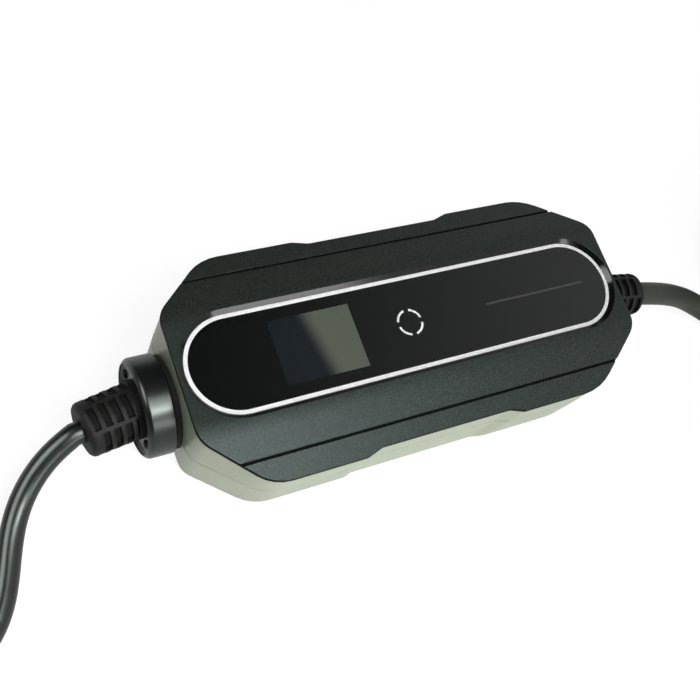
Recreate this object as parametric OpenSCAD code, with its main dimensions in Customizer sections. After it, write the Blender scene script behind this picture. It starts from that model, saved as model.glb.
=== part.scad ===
// Portable charger for electric cars: a control box with a short supply lead and a vehicle cable.
// Millimetres. The origin lies under the middle of the box, on the surface that it rests on.
// +X points to the end where the vehicle cable leaves, +Z up.

/* [Case] */
// Length of the box over its end faces
case_l = 221; // [218:0.5:228]
// Width of the box over its long sides
case_w = 102.4; // [101.4:0.2:108]
// Height of the box, from its underside to the crown of the cover
case_h = 54; // [53.5:0.25:58]
// Height of the parting line between the two halves
parting_h = 27; // [26:0.25:29]
// Wall of the two case halves
case_wall = 2.8; // [2.4:0.1:3.2]
// Floor of the lower half
floor_t = 3; // [2.5:0.1:3.5]
// Width of each end face between its chamfers
end_face_w = 55; // [53:0.5:57]
// Length of each long side between its chamfers
side_l = 168; // [164:0.5:170]
// Length of the waist in each long side, along its bottom
waist_l = 66; // [58:1:70]
// Depth of the waist
waist_d = 2.4; // [1.6:0.1:2.6]
// Length of the ramp at each end of the waist
waist_ramp = 7.5; // [6:0.5:9]
// Rounding of the lower edge
foot_r = 6; // [4:0.5:7]
// Diameter of the case screws
case_screw_d = 3; // [2.5:0.1:3.5]

/* [Cover] */
// Thickness of the cover
cover_t = 2.4; // [2:0.1:2.8]
// Width of the level crown
crown_w = 53; // [51:0.5:56]
// Fall of the cover beside the crown, in degrees
cover_slope = 20; // [16:0.5:22]
// Step from the cover's edge in to the case wall
cover_lip = 0.4; // [0.3:0.1:0.8]
// Distance between the two long grooves
groove_gap = 81.4; // [78:0.2:84]
// Width of a groove
groove_w = 1.2; // [0.8:0.1:1.6]
// Depth of a groove
groove_d = 1; // [0.6:0.1:1.2]

/* [Panel] */
// Space from each end of the box to the display panel
panel_end = 3.3; // [3.2:0.1:6]
// Width of the display panel
panel_w = 43.8; // [42:0.2:45]
// Thickness of the panel
panel_t = 2; // [1.6:0.1:2.4]
// Depth of the panel's face below the crown
panel_drop = 1.8; // [1.4:0.1:2]
// Width of the white line round the panel
line_w = 1.75; // [1.2:0.05:2.2]
// Length of the screen
screen_l = 38.3; // [34:0.1:41]
// Width of the screen
screen_w = 29.5; // [26:0.1:31]
// Space from the panel's end to the screen
screen_end = 40; // [36:0.5:44]
// Place of the touch key along the box
key_x = -3; // [-8:0.5:2]
// Radius of the ring that marks the touch key
key_r = 5.8; // [5:0.1:7]
// Length of the light line
light_l = 55.7; // [48:0.1:58]
// Space from the panel's other end to the light line
light_end = 13.9; // [12.5:0.1:18]

/* [Inside] */
// Length of the main board
board_l = 166; // [150:1:170]
// Width of the main board
board_w = 76; // [66:1:78]
// Thickness of the circuit boards
board_t = 1.6; // [1.2:0.1:2]
// Height of the main board above the floor
board_lift = 6; // [5:0.25:7]
// Thickness of the screen module
lcd_t = 4; // [3.4:0.1:4.4]
// Diameter of the board screws
board_screw_d = 2.6; // [2.2:0.1:3]

/* [Glands] */
// Height of the supply lead's axis above the underside
supply_h = 22; // [21.9:0.1:24]
// Height of the vehicle cable's axis above the underside
vehicle_h = 24.8; // [22:0.1:26]
// Diameter of the collar on the supply side
collar_d = 43.4; // [40:0.2:43.6]
// Length of the collar
collar_l = 12.2; // [10:0.1:13]
// Thickness of the seal behind the collar
collar_seal_t = 2.4; // [1.8:0.1:3.4]
// Diameter of the collar's neck, which passes through the wall
collar_neck_d = 24; // [20:0.2:26]
// Diameter of the supply lead's sleeve at its root
supply_sleeve_d = 25; // [23:0.2:26]
// Diameter of the vehicle cable's sleeve at its root
vehicle_sleeve_d = 22.8; // [21:0.2:24]
// Diameter of the vehicle sleeve's neck
vehicle_neck_d = 17; // [15:0.2:18]

/* [Leads] */
// Diameter of the supply lead
supply_d = 10; // [9:0.1:11]
// Diameter of the vehicle cable
vehicle_d = 12; // [11:0.1:12.5]
// Straight length of the vehicle cable's hank
hank_run = 160; // [150:1:170]
// Thickness of the straps round the hank
tie_t = 1.2; // [0.8:0.1:1.6]
// Width of the straps
tie_w = 20; // [14:0.5:25]

/* [Plug] */
// Diameter of the plug's front
plug_d = 37; // [35:0.2:39]
// Length of the plug's front
plug_front_l = 17; // [15:0.5:20]
// Length of the plug's grip
plug_grip_l = 20; // [16:0.5:24]
// Diameter of a pin
pin_d = 4.8; // [4:0.1:5]
// Length of a pin
pin_l = 19; // [18:0.1:20]
// Distance between the two pins
pin_gap = 19; // [18:0.1:20]

/* [Connector] */
// Diameter of the connector's handle
handle_d = 38; // [34:0.5:40]
// Length of the handle
handle_l = 64; // [56:1:72]
// Diameter of the connector's head
head_d = 60; // [58:0.5:64]
// Length of the head
head_l = 44; // [40:1:50]
// Diameter of the round-and-flat nose
nose_d = 50; // [48:0.5:52]
// Length of the nose in front of the head
nose_l = 30; // [26:0.5:34]
// Wall of the connector's shells
shell_wall = 3; // [2.4:0.1:3.4]
// Bore of a power contact
contact_bore = 6.2; // [6.1:0.05:6.4]

/* [Hidden] */
$fn = 48;
fit = 0.1;
screw_fit = 0.05;
hole_fit = 0.4;
half_l = case_l / 2;
half_w = case_w / 2;
arc_steps = 4;
end_r = 11;
chamfer_r = 22;
waist_r = 4;
least_r = 1;
wall_draft = 0.5;
inner_inset = cover_lip + wall_draft + case_wall;
crown_blend = 30;

// The display panel's levels, from its face down to its board
panel_z = case_h - panel_drop;
panel_r = panel_w / 2;
panel_l = case_l - 2 * panel_end;
panel_run = panel_l - panel_w;
screen_x = -panel_l / 2 + screen_end + screen_l / 2;
light_x = panel_l / 2 - light_end - light_l / 2;
panel_base = panel_z - panel_t;
inlay_t = 0.4;
tape_t = 0.4;
ledge = 3;
deck_t = 3.1;
deck_z = case_h - cover_t - deck_t;
display_z = panel_base - lcd_t;
bevel = 2;
key_line = 1;
key_break = 24;
light_w = 0.9;

// The main board and what stands on it
board_z = floor_t + board_lift;
board_top = board_z + board_t;
standoff_d = 7;
standoff_edge = 6;
head_t = 2;
case_boss_d = 9;
case_head_d = 6;
case_head_z = 12;
case_screw_bite = 10;
end_boss_in = 11;
end_boss_y = 31;
side_boss_x = 52;
side_boss_in = 6.5;
seal_w = 1.2;
seal_t = 1;
seal_in = 0.8;
wire_d = 3.6;
wire_pitch = 5;
terminal = [14, 24, 22];
terminal_edge = 4;
sensor = [16, 30, 26];
sensor_hole_d = 20;
relay = [30, 17, 25];
power_pack = [40, 28, 20];
capacitor_d = 14;
capacitor_h = 22;
capacitor_x = -10;
relay_x = -38;
power_x = 8;
link = [24, 5];
link_y = 20;
display_margin = 8;
display_w = 50;
display_boss_d = 6;

// Both cable exits
wall_x = half_l - cover_lip;
inner_x = wall_x - wall_draft - case_wall;
nut_t = 5;
nut_r = 15;
vehicle_nut_r = 11.5;
collar_x = -wall_x - collar_seal_t;
collar_face_x = collar_x - collar_l;
collar_chamfer = 1.6;
collar_rim = 2.2;
collar_recess = 1.4;
collar_screw_d = 4.4;
collar_screw_h = 1.6;
collar_dome = 2.8;
sleeve_flange_t = 2.4;
sleeve_flange = 1.6;
supply_flange = 0.4;
sleeve_taper = 0.6;
sleeve_round = 2.5;
slot_w = 3;
slot_d = 2;
slot_arc = 52;
slots_round = 3;
slot_pitch = 2.4;
slot_start = 2.8;
supply_rows = 8;
vehicle_rows = 10;
supply_sleeve_l = 24.4;
vehicle_sleeve_l = 33;
supply_lean = 9;
vehicle_lean = 7.8;
supply_way = [-cos(supply_lean), -sin(supply_lean), 0];
vehicle_way = [cos(vehicle_lean), -sin(vehicle_lean), 0];
supply_root_x = collar_face_x + collar_recess;
supply_tip = [supply_root_x, 0, supply_h] + supply_sleeve_l * supply_way;
vehicle_tip = [wall_x, 0, vehicle_h] + vehicle_sleeve_l * vehicle_way;

// Supply lead: from the sleeve's tip down to the floor, then round to the plug beside the box.
// Each point is x and y from the tip, and the height of the lead's underside above the floor.
cord_sides = 10;
supply_points = [
    [-6, -1, 16.5], [-13, -4, 13.5], [-20, -9, 9.4], [-27, -16, 5.2], [-33, -25, 2.1], [-37, -35, 0.5],
    [-40.5, -48, 0], [-47, -62, 0], [-57, -71.5, 0], [-70, -77, 0], [-84, -78, 0.5], [-98, -74, 2],
    [-109.5, -65, 4.5], [-117, -52, 8], [-120, -38, 11.5], [-120, -28, 13]
];
plug_z = plug_d / 2;
plug_place = [supply_tip.x - 120, supply_tip.y - 20];

// Vehicle cable: from the sleeve's tip to the hank, and from the hank's top to the connector
vehicle_points = [
    [7, -1, 18.5], [15, -2, 17.2], [24, -2.9, 14.6], [33, -4.1, 11.2], [42, -6.4, 7.4], [51, -10.6, 4],
    [59, -17, 1.6], [65.5, -23, 1.2]
];
hank_cols = 3;
hank_rows = 3;
hank_bend = 48;
hank_half = hank_cols * vehicle_d / 2;
hank_out = hank_bend + hank_half;
hank_in = hank_bend - hank_half;
hank_h = hank_rows * vehicle_d;
hank_reach = 136;
hank_side = 15;
hank_left = [vehicle_tip.x + hank_reach, vehicle_tip.y - hank_side];
hank_z = tie_t;
hank_top = hank_z + hank_h;
tail_points = [
    [-46, 10, 0.3], [-49, -3, 0.4], [-47, -17, 1.4], [-40, -31, 3.8], [-29, -41, 7.2],
    [-17, -46.5, 11], [-6, -48, 14]
];

// Vehicle connector, which lies on the hank on its flat, with its axis along X
boot_l = 24;
boot_tip_d = 18;
rest_gap = 0.3;
handle_x = boot_l;
head_x = handle_x + handle_l;
nose_x = head_x + head_l;
nose_flat = 19;
head_flat = nose_flat + 2;
axis_z = hank_top + head_flat + rest_gap;
connector_at = [hank_left.x + 4, hank_left.y - hank_bend, axis_z];
neck_blend = 14;
nose_seal_t = 3;
insert_back = 14;
nose_root = nose_x - shell_wall - 0.5;
power_hole_d = 8.4;
pilot_hole_d = 5;
pilot_bore = 3.2;
contact_l = 24;
contact_in = 6;
contact_back = nose_x + nose_l - contact_in - contact_l;
wire_way_d = 3.6;
pilot_wire_way_d = 2;
blank_d = 7;
blank_depth = 1.5;
shell_screw_d = 5;
power_places = [[-15, 0], [0, 0], [15, 0]];
blank_places = [[-8, -14], [8, -14]];
pilot_places = [[-8.5, 11.5], [8.5, 11.5]];

// Plane geometry: outlines with round corners, each corner as x, y and radius, anticlockwise
function unit(v) = v / norm(v);
function left_of(v) = [-v.y, v.x];
function flat(p) = [p.x, p.y];
function moved_corner(a, b, c, d) =
    let (m = left_of(unit(b - a)), n = left_of(unit(c - b)))
    b + d * (m + n) / (1 + m * n);
function inset_corners(corners, d) =
    let (n = len(corners))
    [for (i = [0:n - 1])
        let (a = flat(corners[(i + n - 1) % n]), b = flat(corners[i]), c = flat(corners[(i + 1) % n]))
        let (p = moved_corner(a, b, c, d), r = corners[i].z)
        [p.x, p.y, cross(b - a, c - b) > 0 ? max(r - d, least_r) : r + d]];
function round_corner(a, b, c, r) =
    let (u = unit(a - b), v = unit(c - b), half = acos(u * v) / 2)
    let (middle = b + unit(u + v) * r / sin(half), start = b + u * r / tan(half) - middle)
    let (from = atan2(start.y, start.x), turn = (180 - 2 * half) * sign(cross(b - a, c - b)))
    [for (k = [0:arc_steps])
        let (a = from + turn * k / arc_steps)
        middle + r * [cos(a), sin(a)]];
function round_outline(corners) =
    let (n = len(corners))
    [for (i = [0:n - 1])
        let (a = corners[(i + n - 1) % n], b = corners[i], c = corners[(i + 1) % n])
        each round_corner(flat(a), flat(b), flat(c), b.z)];

// Outline of the box seen from above: an octagon with a waist in each long side
case_quarter = [
    [half_l, end_face_w / 2, end_r],
    [side_l / 2, half_w, chamfer_r],
    [waist_l / 2 + waist_ramp, half_w, waist_r],
    [waist_l / 2, half_w - waist_d, waist_r]
];
function mirrored(quarter, sx, sy) =
    [for (i = [len(quarter) - 1:-1:0])
        let (c = quarter[i])
        [sx * c.x, sy * c.y, c.z]];
case_corners = concat(
    case_quarter, mirrored(case_quarter, -1, 1),
    [for (c = case_quarter) [-c.x, -c.y, c.z]], mirrored(case_quarter, 1, -1)
);
module case_outline(inset) {
    polygon(round_outline(inset_corners(case_corners, inset)));
}

// Everything below the cover's roof, lowered by a drop
roof_reach = half_w + 8;
roof_fall = (roof_reach - crown_w / 2) * tan(cover_slope);
module under_roof(drop) {
    corners = [
        [-roof_reach, -5, least_r], [roof_reach, -5, least_r], [roof_reach, case_h - roof_fall, least_r],
        [crown_w / 2, case_h, crown_blend], [-crown_w / 2, case_h, crown_blend],
        [-roof_reach, case_h - roof_fall, least_r]
    ];
    translate([0, 0, -drop]) rotate([90, 0, 90])
        linear_extrude(case_l + 20, center = true) polygon(round_outline(corners));
}

// Upright prism with round ends along X
module stadium(run, r, h) {
    for (s = [-1, 1]) translate([s * run / 2, 0, 0]) cylinder(r = r, h = h);
    translate([-run / 2, -r, 0]) cube([run, 2 * r, h]);
}

// The same prism, wider at the top by its flare
module flared_stadium(run, r, flare, h) {
    for (s = [-1, 1]) translate([s * run / 2, 0, 0]) cylinder(r1 = r, r2 = r + flare, h = h);
    rotate([90, 0, 90]) linear_extrude(run, center = true)
        polygon([[-r, 0], [r, 0], [r + flare, h], [-r - flare, h]]);
}

// Solid of revolution about an axis along X; the profile's first value is the distance from the axis
module turned(x, y, z) {
    translate([x, y, z]) rotate([0, 90, 0]) rotate_extrude() children();
}
module x_cylinder(x, z, r, l) {
    translate([x, 0, z]) rotate([0, 90, 0]) cylinder(r = r, h = l);
}

// Places of the screws
end_bosses = [for (sx = [-1, 1], sy = [-1, 1]) [sx * (half_l - end_boss_in), sy * end_boss_y]];
side_bosses = [for (sx = [-1, 1], sy = [-1, 1]) [sx * side_boss_x, sy * (half_w - side_boss_in)]];
case_bosses = concat(end_bosses, side_bosses);
standoffs = [for (sx = [-1, 1], sy = [-1, 1])
    [sx * (board_l / 2 - standoff_edge), sy * (board_w / 2 - standoff_edge)]];
display_left = screen_x - screen_l / 2 - display_margin;
display_right = light_x + light_l / 2 + 3;
display_edge = 5;
display_hole_x = [display_left + display_edge, display_right - display_edge];
display_hole_y = display_w / 2 - board_screw_d;
display_holes = [for (x = display_hole_x, sy = [-1, 1]) [x, sy * display_hole_y]];

module cable_holes() {
    x_cylinder(-half_l - 5, supply_h, collar_neck_d / 2 + fit, 15);
    x_cylinder(half_l - 10, vehicle_h, vehicle_neck_d / 2 + fit, 15);
}

module lower_case() {
    color("lightgray") difference() {
        union() {
            difference() {
                intersection() {
                    hull() {
                        for (a = [0:30:90])
                            translate([0, 0, foot_r * (1 - cos(a))]) linear_extrude(0.01)
                                case_outline(cover_lip + wall_draft + foot_r * (1 - sin(a)));
                        translate([0, 0, parting_h - 0.01]) linear_extrude(0.01) case_outline(cover_lip);
                    }
                    linear_extrude(parting_h) case_outline(cover_lip);
                }
                translate([0, 0, floor_t]) linear_extrude(parting_h) case_outline(inner_inset);
            }
            intersection() {
                for (p = case_bosses) translate([p.x, p.y, floor_t - 1])
                    cylinder(d = case_boss_d, h = parting_h - floor_t + 1);
                linear_extrude(parting_h) case_outline(cover_lip + 1.5);
            }
            for (p = standoffs) translate([p.x, p.y, floor_t - 1])
                cylinder(d = standoff_d, h = board_lift + 1);
        }
        for (p = case_bosses) {
            translate([p.x, p.y, -1]) cylinder(d = case_screw_d + hole_fit, h = parting_h + 2);
            translate([p.x, p.y, -1]) cylinder(d = case_head_d + hole_fit, h = case_head_z + 1);
        }
        for (p = standoffs)
            translate([p.x, p.y, floor_t]) cylinder(d = board_screw_d + 2 * screw_fit, h = board_lift + 1);
        translate([0, 0, parting_h - seal_t]) seal_ring(seal_t + 1);
        cable_holes();
    }
}

module seal_ring(h) {
    linear_extrude(h) difference() {
        case_outline(cover_lip + seal_in);
        case_outline(cover_lip + seal_in + seal_w);
    }
}

module upper_case() {
    color("lightgray") difference() {
        union() {
            difference() {
                intersection() {
                    translate([0, 0, parting_h]) linear_extrude(case_h) case_outline(cover_lip);
                    under_roof(cover_t);
                }
                intersection() {
                    translate([0, 0, parting_h - 1]) linear_extrude(case_h) case_outline(inner_inset);
                    under_roof(cover_t + deck_t);
                }
            }
            intersection() {
                for (p = case_bosses) translate([p.x, p.y, parting_h])
                    cylinder(d = case_boss_d, h = case_h);
                translate([0, 0, parting_h]) linear_extrude(case_h) case_outline(cover_lip + 1.5);
                under_roof(cover_t + deck_t - 0.8);
            }
            for (p = display_holes)
                translate([p.x, p.y, display_z]) cylinder(d = display_boss_d, h = deck_z - display_z + 0.8);
        }
        for (p = case_bosses)
            translate([p.x, p.y, parting_h - 1])
                cylinder(d = case_screw_d + 2 * screw_fit, h = case_screw_bite + 2);
        for (p = display_holes)
            translate([p.x, p.y, display_z - 1])
                cylinder(d = board_screw_d + 2 * screw_fit, h = deck_z - display_z + 1.5);
        translate([0, 0, panel_base - tape_t]) stadium(panel_run, panel_r + fit, case_h);
        translate([0, 0, display_z]) stadium(panel_run, panel_r - ledge, case_h);
        cable_holes();
    }
}

module top_cover() {
    color("dimgray") difference() {
        intersection() {
            translate([0, 0, parting_h]) linear_extrude(case_h) case_outline(0);
            under_roof(0);
        }
        under_roof(cover_t);
        translate([0, 0, parting_h]) stadium(panel_run, panel_r + fit, case_h);
        translate([0, 0, panel_z]) flared_stadium(panel_run, panel_r + fit, bevel, panel_drop);
        for (s = [-1, 1])
            translate([0, s * groove_gap / 2, case_h - (groove_gap - crown_w) / 2 * tan(cover_slope)])
                rotate([-s * cover_slope, 0, 0])
                    translate([-half_l, -groove_w / 2, -groove_d]) cube([case_l, groove_w, 3 * groove_d]);
    }
}

module case_seal() {
    color("black") difference() {
        translate([0, 0, parting_h - seal_t]) seal_ring(seal_t);
        cable_holes();
    }
}

module case_screws() {
    color("gray") for (p = case_bosses) translate([p.x, p.y, 0]) {
        translate([0, 0, case_head_z - head_t]) cylinder(d = case_head_d, h = head_t);
        translate([0, 0, case_head_z])
            cylinder(d = case_screw_d, h = parting_h + case_screw_bite - case_head_z);
    }
}

module panel_lens() {
    color("black") difference() {
        translate([0, 0, panel_base]) stadium(panel_run, panel_r, panel_t);
        line_band();
        key_arcs();
        translate([screen_x - screen_l / 2, -screen_w / 2, panel_base - 1])
            cube([screen_l, screen_w, panel_t + 2]);
        translate([light_x - light_l / 2, -light_w / 2, panel_base - 1])
            cube([light_l, light_w, panel_t + 2]);
    }
}

module line_band() {
    translate([0, 0, panel_z - inlay_t]) difference() {
        stadium(panel_run, panel_r, inlay_t);
        translate([0, 0, -1]) stadium(panel_run, panel_r - line_w, inlay_t + 2);
    }
}

module panel_line() {
    color("white") line_band();
}

// Four arcs that leave a break on each side
module key_arcs() {
    translate([key_x, 0, panel_z - inlay_t]) for (a = [0:90:270]) rotate([0, 0, a + key_break / 2])
        rotate_extrude(angle = 90 - key_break) translate([key_r - key_line / 2, 0])
            square([key_line, inlay_t]);
}

module key_ring() {
    color("white") key_arcs();
}

module screen_window() {
    color("slategray") translate([screen_x - screen_l / 2, -screen_w / 2, panel_base])
        cube([screen_l, screen_w, panel_t]);
}

module light_guide() {
    color("gainsboro") translate([light_x - light_l / 2, -light_w / 2, display_z])
        cube([light_l, light_w, panel_z - display_z]);
}

module panel_tape() {
    color("black") translate([0, 0, panel_base - tape_t]) difference() {
        stadium(panel_run, panel_r, tape_t);
        translate([0, 0, -1]) stadium(panel_run, panel_r - ledge, tape_t + 2);
    }
}

module lcd_module() {
    rim = 2;
    color("silver") translate([screen_x - screen_l / 2 - rim, -screen_w / 2 - rim, display_z])
        cube([screen_l + 2 * rim, screen_w + 2 * rim, lcd_t]);
}

module touch_pad() {
    color("darkgray") translate([key_x, 0, display_z]) cylinder(r = key_r - key_line, h = lcd_t);
}

module display_board() {
    color("darkgreen") difference() {
        translate([display_left, -display_w / 2, display_z - board_t])
            cube([display_right - display_left, display_w, board_t]);
        for (p = display_holes) translate([p.x, p.y, 0]) cylinder(d = board_screw_d + hole_fit, h = case_h);
    }
}

module display_screws() {
    head_z = display_z - board_t - head_t;
    color("silver") for (p = display_holes) translate([p.x, p.y, head_z]) {
        cylinder(d = 2 * board_screw_d, h = head_t);
        cylinder(d = board_screw_d, h = head_t + board_t + deck_z - display_z);
    }
}

// Ribbon socket and plug that stand between the two boards
module board_link() {
    color("ivory") translate([key_x - link.x / 2, link_y, board_top])
        cube([link.x, link.y, display_z - board_t - board_top]);
}

module main_board() {
    color("darkgreen") difference() {
        translate([-board_l / 2, -board_w / 2, board_z]) cube([board_l, board_w, board_t]);
        for (p = standoffs) translate([p.x, p.y, board_z - 1])
            cylinder(d = board_screw_d + hole_fit, h = board_t + 2);
    }
}

module board_screws() {
    color("silver") for (p = standoffs) translate([p.x, p.y, board_top]) {
        cylinder(d = 2 * board_screw_d, h = head_t);
        translate([0, 0, 1 - board_lift - board_t]) cylinder(d = board_screw_d, h = board_lift + board_t);
    }
}

// A block with a pocket for each wire in its outer face
line_terminal_x = -board_l / 2 + terminal_edge;
load_terminal_x = board_l / 2 - terminal_edge - terminal.x - sensor.x - 6;
sensor_x = board_l / 2 - terminal_edge - sensor.x;
module terminal_block(x) {
    translate([x, -terminal.y / 2, board_top]) cube(terminal);
}

module line_terminal() {
    color("seagreen") terminal_block(line_terminal_x);
}

module load_terminal() {
    color("seagreen") terminal_block(load_terminal_x);
}

module current_sensor() {
    color("midnightblue") difference() {
        translate([sensor_x, -sensor.y / 2, board_top]) cube(sensor);
        x_cylinder(sensor_x - 1, vehicle_h, sensor_hole_d / 2, sensor.x + 2);
    }
}

module relays() {
    color("dimgray") for (s = [-1, 1])
        translate([relay_x - relay.x / 2, s * (relay.y / 2 + 2) - relay.y / 2, board_top]) cube(relay);
}

module power_module() {
    color("black") translate([power_x - power_pack.x / 2, -power_pack.y - 4, board_top]) cube(power_pack);
}

module filter_capacitors() {
    color("steelblue") for (i = [0, 1])
        translate([capacitor_x + i * (capacitor_d + 3), capacitor_d / 2 + 2, board_top])
            cylinder(d = capacitor_d, h = capacitor_h);
}

module wires(x, z, l) {
    for (i = [-1:1]) translate([x, i * wire_pitch, z]) rotate([0, 90, 0]) cylinder(d = wire_d, h = l);
}
collar_inner_x = -inner_x + nut_t + 2;
vehicle_inner_x = inner_x - nut_t - 2;

module supply_wires() {
    color("sienna") wires(collar_inner_x, supply_h, line_terminal_x - collar_inner_x);
}

module load_wires() {
    color("sienna") wires(load_terminal_x + terminal.x, vehicle_h, vehicle_inner_x - load_terminal_x - terminal.x);
}

// Collar on the supply side: a turned ring with a stepped face, and its neck through the wall
module collar() {
    r = collar_d / 2;
    foot_x = collar_inner_x - collar_face_x;
    color("dimgray") turned(collar_face_x, 0, supply_h) polygon([
        [0, collar_recess], [r - collar_rim, collar_recess], [r - collar_rim, 0], [r - collar_chamfer, 0],
        [r, collar_chamfer], [r, collar_l], [collar_neck_d / 2, collar_l],
        [collar_neck_d / 2, foot_x], [0, foot_x]
    ]);
}

module collar_seal() {
    color("black") turned(-wall_x - collar_seal_t, 0, supply_h)
        translate([collar_neck_d / 2, 0]) square([collar_d / 2 - 1.2 - collar_neck_d / 2, collar_seal_t]);
}

module collar_nut() {
    color("gray") difference() {
        translate([-inner_x, 0, supply_h]) rotate([0, 90, 0]) cylinder(r = nut_r, h = nut_t, $fn = 6);
        x_cylinder(-inner_x - 1, supply_h, collar_neck_d / 2 + screw_fit, nut_t + 2);
    }
}

// Round-headed screws in the collar's stepped face
module collar_screws() {
    seat = (supply_sleeve_d / 2 + collar_d / 2 - collar_rim) / 2;
    color("black") for (s = [-1, 1]) intersection() {
        translate([supply_root_x, s * seat, supply_h]) rotate([0, -90, 0])
            cylinder(d = collar_screw_d, h = collar_screw_h);
        translate([supply_root_x + collar_dome - collar_screw_h, s * seat, supply_h]) sphere(r = collar_dome);
    }
}

// Moulded sleeve that stiffens a cable's exit: rows of arc slots, each row turned against the last
module slotted_sleeve(root_r, l, rows) {
    tip_r = root_r - sleeve_taper;
    difference() {
        rotate_extrude() polygon(concat(
            [[0, -3], [root_r, -3]],
            [for (a = [0:30:90]) [tip_r - sleeve_round * (1 - cos(a)), l - sleeve_round * (1 - sin(a))]],
            [[0, l]]
        ));
        for (i = [0:rows - 1], k = [0:slots_round - 1])
            translate([0, 0, l - slot_start - slot_w - slot_pitch * i])
                rotate([0, 0, (k + (i % 2) / 2) * 360 / slots_round - slot_arc / 2])
                    rotate_extrude(angle = slot_arc) translate([root_r - slot_d, 0])
                        square([slot_d + 2, slot_w]);
    }
}

// A leaning sleeve on an upright flange; what would lie behind the flange's back is cut away
module leaning_sleeve(x, z, way, lean, root_r, flange_r, l, rows) {
    difference() {
        translate([x, 0, z]) {
            rotate([0, way * 90, 0]) cylinder(r = flange_r, h = sleeve_flange_t);
            rotate([0, 0, -way * lean]) rotate([0, way * 90, 0]) slotted_sleeve(root_r, l, rows);
        }
        translate([x - (way > 0 ? 20 : 0), -30, z - 30]) cube([20, 60, 60]);
    }
}

module supply_sleeve() {
    color("dimgray") leaning_sleeve(
        supply_root_x, supply_h, -1, supply_lean, supply_sleeve_d / 2,
        supply_sleeve_d / 2 + supply_flange, supply_sleeve_l, supply_rows
    );
}

module vehicle_sleeve() {
    color("dimgray") {
        leaning_sleeve(
            wall_x, vehicle_h, 1, vehicle_lean, vehicle_sleeve_d / 2,
            vehicle_sleeve_d / 2 + sleeve_flange, vehicle_sleeve_l, vehicle_rows
        );
        x_cylinder(vehicle_inner_x, vehicle_h, vehicle_neck_d / 2, wall_x - vehicle_inner_x + 1);
    }
}

module vehicle_nut() {
    color("gray") difference() {
        translate([inner_x - nut_t, 0, vehicle_h]) rotate([0, 90, 0])
            cylinder(r = vehicle_nut_r, h = nut_t, $fn = 6);
        x_cylinder(inner_x - nut_t - 1, vehicle_h, vehicle_neck_d / 2 + screw_fit, nut_t + 2);
    }
}

// Tube swept along a route; the first and last rings face the given ways
function along(route, i, first, last) =
    i == 0 ? first : i == len(route) - 1 ? last : unit(route[i + 1] - route[i - 1]);
function ring(centre, way, r) =
    let (side = unit(cross([0, 0, 1], way)), up = cross(way, side))
    [for (k = [0:cord_sides - 1])
        let (a = (k + 0.5) * 360 / cord_sides)
        centre + r * (cos(a) * side + sin(a) * up)];
module swept_tube(route, d, first, last) {
    n = len(route);
    points = [for (i = [0:n - 1]) each ring(route[i], along(route, i, first, last), d / 2)];
    walls = [for (i = [0:n - 2], k = [0:cord_sides - 1])
        let (a = i * cord_sides + k, b = i * cord_sides + (k + 1) % cord_sides)
        each [[a, a + cord_sides, b], [b, a + cord_sides, b + cord_sides]]];
    front = [for (k = [0:cord_sides - 1]) k];
    back = [for (k = [cord_sides - 1:-1:0]) (n - 1) * cord_sides + k];
    polyhedron(points, concat([front], walls, [back]));
}

module supply_lead() {
    route = concat([supply_tip],
        [for (p = supply_points) [supply_tip.x + p.x, supply_tip.y + p.y, p.z + supply_d / 2]],
        [[plug_place.x, plug_place.y, plug_z]]);
    color("black") swept_tube(route, supply_d, supply_way, [0, 1, 0]);
}

// The plug's own frame: its axis is along +Y, from the lead to the pins
plug_sleeve_l = 16;
plug_neck_r = 10;
pin_root = 8;
pin_root_d = pin_d - 0.8;
pin_neck = 0.5;
clip = [5, 1.2];
clip_in = 2.3;
clip_l = plug_front_l - 2;
clip_groove_w = 7;
plug_face_y = plug_sleeve_l + plug_grip_l + plug_front_l;
module in_plug() {
    translate([plug_place.x, plug_place.y, plug_z]) rotate([-90, 0, 0]) children();
}

module plug_sleeve() {
    color("black") in_plug() difference() {
        cylinder(r1 = supply_d / 2 + 1, r2 = plug_neck_r - 1, h = plug_sleeve_l);
        for (i = [0:2]) translate([0, 0, 3 + i * 4]) difference() {
            cylinder(r = plug_neck_r + 2, h = 1.5);
            translate([0, 0, -1]) cylinder(r = supply_d / 2, h = 4);
        }
    }
}

module plug_body() {
    color("black") in_plug() difference() {
        translate([0, 0, plug_sleeve_l]) rotate_extrude() polygon([
            [0, 0], [plug_neck_r, 0], [plug_neck_r + 1.5, plug_grip_l * 0.3],
            [plug_neck_r + 3, plug_grip_l * 0.7], [plug_d / 2 - 2, plug_grip_l],
            [plug_d / 2, plug_grip_l + 2], [plug_d / 2, plug_face_y - plug_sleeve_l - 1],
            [plug_d / 2 - 1, plug_face_y - plug_sleeve_l], [0, plug_face_y - plug_sleeve_l]
        ]);
        for (a = [0, 180]) rotate([0, 0, a])
            translate([-clip_groove_w / 2, plug_d / 2 - clip_in - clip.y, plug_face_y - clip_l])
                cube([clip_groove_w, plug_d, clip_l + 1]);
        for (s = [-1, 1]) translate([s * pin_gap / 2, 0, plug_face_y - pin_root])
            cylinder(d = pin_root_d, h = pin_root + 1);
    }
}

module plug_pins() {
    tip = 1;
    color("silver") in_plug() for (s = [-1, 1]) translate([s * pin_gap / 2, 0, plug_face_y]) {
        translate([0, 0, -pin_root]) cylinder(d = pin_root_d, h = pin_root + pin_neck);
        translate([0, 0, pin_neck]) cylinder(d = pin_d, h = pin_l - tip - pin_neck);
        translate([0, 0, pin_l - tip]) cylinder(d1 = pin_d, d2 = pin_d - 2 * tip, h = tip);
    }
}

// Side contacts for earth, flat strips in the plug's two grooves
module earth_clips() {
    color("silver") in_plug() for (s = [-1, 1])
        translate([0, s * (plug_d / 2 - clip_in - clip.y / 2), plug_face_y - clip_l / 2])
            cube([clip.x, clip.y, clip_l - 2], center = true);
}

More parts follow.
